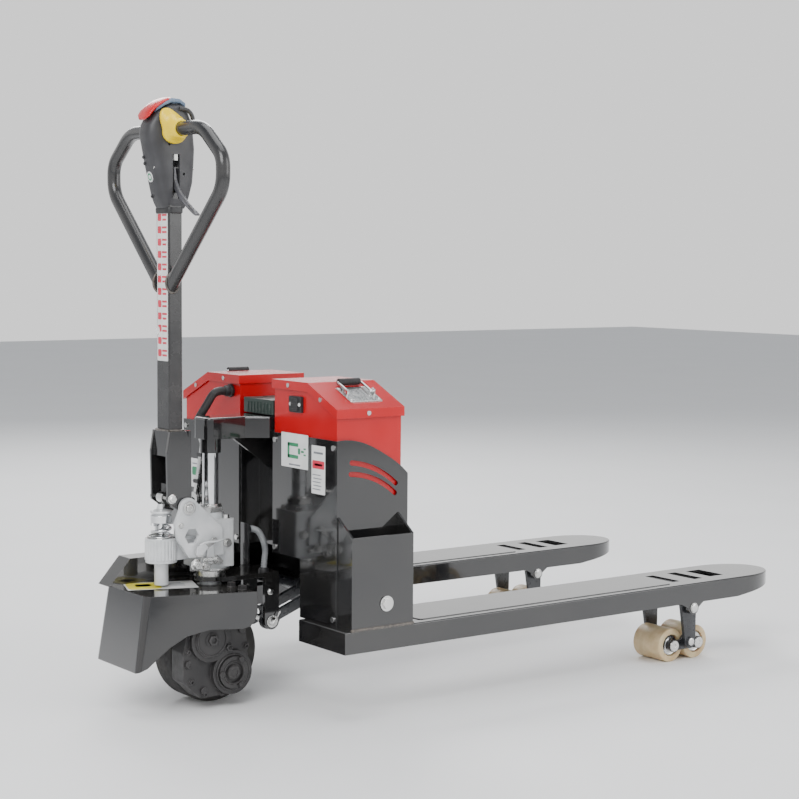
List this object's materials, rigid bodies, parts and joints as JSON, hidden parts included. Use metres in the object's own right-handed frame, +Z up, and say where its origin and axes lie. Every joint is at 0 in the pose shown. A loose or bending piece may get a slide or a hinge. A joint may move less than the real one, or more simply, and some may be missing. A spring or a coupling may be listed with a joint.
{
  "type": "electric pallet truck",
  "caption": "Walk-behind electric pallet truck: steered drive head with tiller, battery boxes over the heel, two forks with a coupled lift linkage and tandem load rollers.",
  "frame": {"origin": "on the floor at the middle of the truck's length and width", "axes": "+Z up, +X from the operator's end to the fork tips, Y across"},
  "size_m": [1.525, 0.698, 1.198],
  "materials": {
    "black_paint": "gloss",
    "red_box": "gloss",
    "black_plastic": "satin",
    "cover_gloss": "gloss",
    "controller_green": "satin",
    "zinc_steel": "satin",
    "pump_silver": "painted silver, satin",
    "chrome": "polished",
    "cast_dark": "matte",
    "motor_dark": "satin",
    "conduit_grey": "corrugated",
    "cable_rubber": "matte",
    "tiller_paint": "satin",
    "head_plastic": "satin",
    "yellow_plastic": "gloss",
    "red_plastic": "gloss",
    "blue_plastic": "satin",
    "lever_grey": "satin",
    "linkage_dark": "satin",
    "roller_cream": "polyurethane",
    "drive_tyre": "matte",
    "grip_black": "moulded grip on a steel bail"
  },
  "bodies": {
    "carrier": {"carrier_bracket": "black_paint", "link_pin": "zinc_steel", "thrust_bearing": "zinc_steel", "conduit": "conduit_grey"},
    "chassis": {"fork_left": "black_paint", "fork_right": "black_paint", "frame_weldment": "black_paint", "front_panels": "black_paint", "top_bracket": "black_paint", "lift_rod": "chrome", "side_pockets": "black_paint", "pocket_bolts": "zinc_steel", "chassis_screws": "zinc_steel", "battery_case_left": "red_box", "battery_case_right": "red_box", "battery_lids": "red_box", "battery_packs": "black_plastic", "handle_plates": "zinc_steel", "charging_socket": "black_plastic", "cable_gland": "black_plastic", "battery_cable": "cable_rubber", "controller_box": "controller_green", "swing_pins": "zinc_steel"},
    "steer": {"pump_body": "pump_silver", "pump_fittings": "zinc_steel", "tiller_pin": "zinc_steel", "drive_cover": "cover_gloss", "drive_bolts": "cast_dark", "drive_mount": "black_paint", "gear_casing": "cast_dark", "drive_motor": "motor_dark", "pump_spring": "chrome"},
    "drive_wheel": {"drive_tyre": "drive_tyre", "drive_hub": "cast_dark"},
    "tiller": {"tiller_yoke": "black_paint", "tiller_pins": "zinc_steel", "tiller_pole": "tiller_paint", "handle_loop_left": "tiller_paint", "handle_loop_right": "tiller_paint", "head_shell_left": "head_plastic", "head_shell_right": "head_plastic"},
    "plunger": {"pump_plunger": "chrome"},
    "tappet": {"pump_roller": "zinc_steel"},
    "release": {"release_lever": "zinc_steel"},
    "throttle": {"throttle": "yellow_plastic"},
    "belly": {"belly_button": "red_plastic"},
    "horn": {"horn_button": "blue_plastic"},
    "lift_lever": {"lift_lever": "lever_grey"},
    "rocker": {"rocker_arms": "linkage_dark"},
    "rods": {"push_rods": "linkage_dark"},
    "wheel_frame_left": {"wheel_frame_left": "linkage_dark"},
    "bogie_left": {"bogie_left": "linkage_dark"},
    "bail_left": {"handle_bail_left": "grip_black"},
    "roller_front_left": {"load_roller_front_left": "roller_cream"},
    "roller_rear_left": {"load_roller_rear_left": "roller_cream"},
    "wheel_frame_right": {"wheel_frame_right": "linkage_dark"},
    "bogie_right": {"bogie_right": "linkage_dark"},
    "bail_right": {"handle_bail_right": "grip_black"},
    "roller_front_right": {"load_roller_front_right": "roller_cream"},
    "roller_rear_right": {"load_roller_rear_right": "roller_cream"}
  },
  "joints": [
    {"name": "steer", "type": "hinge", "parent": "carrier", "child": "steer", "pos_m": [-0.5505, 0, 0.241], "axis": [0, 0, 1], "range_deg": [-35, 35]},
    {"name": "drive_wheel", "type": "hinge", "parent": "steer", "child": "drive_wheel", "pos_m": [-0.5625, 0, 0.098], "axis": [0, 1, 0], "continuous": true},
    {"name": "tiller_tilt", "type": "hinge", "parent": "steer", "child": "tiller", "pos_m": [-0.6255, 0, 0.395], "axis": [0, -1, 0], "range_deg": [0, 75]},
    {"name": "pump_stroke", "type": "slide", "parent": "steer", "child": "plunger", "axis": [0, 0, 1], "range_m": [-0.04519, 0], "deforming": ["pump_spring"]},
    {"name": "pump_roller", "type": "hinge", "parent": "tiller", "child": "tappet", "pos_m": [-0.6575, 0, 0.414], "axis": [0, 1, 0], "continuous": true},
    {"name": "release_lever", "type": "hinge", "parent": "steer", "child": "release", "pos_m": [-0.6055, -0.05, 0.306], "axis": [0, 1, 0], "range_deg": [-15, 15], "stiffness_Nm_per_rad": 1},
    {"name": "throttle", "type": "hinge", "parent": "tiller", "child": "throttle", "pos_m": [-0.6495, 0, 1.131], "axis": [0, 1, 0], "range_deg": [-35, 35], "stiffness_Nm_per_rad": 1.5},
    {"name": "belly_button", "type": "slide", "parent": "tiller", "child": "belly", "axis": [-0.7431, 0, 0.6691], "range_m": [-0.005, 0], "stiffness_N_per_m": 1500},
    {"name": "horn_button", "type": "slide", "parent": "tiller", "child": "horn", "axis": [0, 0, 1], "range_m": [-0.003, 0], "stiffness_N_per_m": 1200},
    {"name": "lift_lever", "type": "hinge", "parent": "tiller", "child": "lift_lever", "pos_m": [-0.6425, -0.016, 1.058], "axis": [-1, 0, 0], "range_deg": [0, 20], "stiffness_Nm_per_rad": 1, "springref_deg": -5.73},
    {"name": "fork_lift", "type": "slide", "parent": "carrier", "child": "chassis", "axis": [0, 0, 1], "range_m": [-0.095, 0]},
    {"name": "lift_rocker", "type": "hinge", "parent": "chassis", "child": "rocker", "pos_m": [-0.3075, 0, 0.196], "axis": [0, 1, 0], "range_deg": [0, 41.32]},
    {"name": "push_rods", "type": "slide", "parent": "chassis", "child": "rods", "axis": [1, 0, 0], "range_m": [-0.03255, 0]},
    {"name": "load_wheel_frame_right", "type": "hinge", "parent": "chassis", "child": "wheel_frame_right", "pos_m": [0.4745, -0.2625, 0.124], "axis": [0, 1, 0], "range_deg": [-95.85, 0]},
    {"name": "bogie_right", "type": "hinge", "parent": "wheel_frame_right", "child": "bogie_right", "pos_m": [0.4825, -0.2625, 0.045], "axis": [0, 1, 0], "range_deg": [0, 95.85]},
    {"name": "load_roller_rear_right", "type": "hinge", "parent": "bogie_right", "child": "roller_rear_right", "pos_m": [0.445, -0.2625, 0.037], "axis": [0, 1, 0], "continuous": true},
    {"name": "load_roller_front_right", "type": "hinge", "parent": "bogie_right", "child": "roller_front_right", "pos_m": [0.52, -0.2625, 0.037], "axis": [0, 1, 0], "continuous": true},
    {"name": "handle_bail_right", "type": "hinge", "parent": "chassis", "child": "bail_right", "pos_m": [-0.3595, -0.24724, 0.62743], "axis": [1, 0, 0], "range_deg": [0, 95]},
    {"name": "load_wheel_frame_left", "type": "hinge", "parent": "chassis", "child": "wheel_frame_left", "pos_m": [0.4745, 0.2625, 0.124], "axis": [0, 1, 0], "range_deg": [-95.85, 0]},
    {"name": "bogie_left", "type": "hinge", "parent": "wheel_frame_left", "child": "bogie_left", "pos_m": [0.4825, 0.2625, 0.045], "axis": [0, 1, 0], "range_deg": [0, 95.85]},
    {"name": "load_roller_rear_left", "type": "hinge", "parent": "bogie_left", "child": "roller_rear_left", "pos_m": [0.445, 0.2625, 0.037], "axis": [0, 1, 0], "continuous": true},
    {"name": "load_roller_front_left", "type": "hinge", "parent": "bogie_left", "child": "roller_front_left", "pos_m": [0.52, 0.2625, 0.037], "axis": [0, 1, 0], "continuous": true},
    {"name": "handle_bail_left", "type": "hinge", "parent": "chassis", "child": "bail_left", "pos_m": [-0.3595, 0.24724, 0.62743], "axis": [-1, 0, 0], "range_deg": [0, 95]}
  ],
  "couplings": [
    {"joint": "pump_stroke", "follows": "tiller_tilt", "m_per_rad": -0.034371},
    {"joint": "lift_rocker", "follows": "fork_lift", "rad_per_m": -7.5897},
    {"joint": "push_rods", "follows": "fork_lift", "ratio": 0.34161},
    {"joint": "load_wheel_frame_right", "follows": "fork_lift", "rad_per_m": 17.608},
    {"joint": "bogie_right", "follows": "fork_lift", "rad_per_m": -17.608},
    {"joint": "load_wheel_frame_left", "follows": "fork_lift", "rad_per_m": 17.608},
    {"joint": "bogie_left", "follows": "fork_lift", "rad_per_m": -17.608}
  ]
}
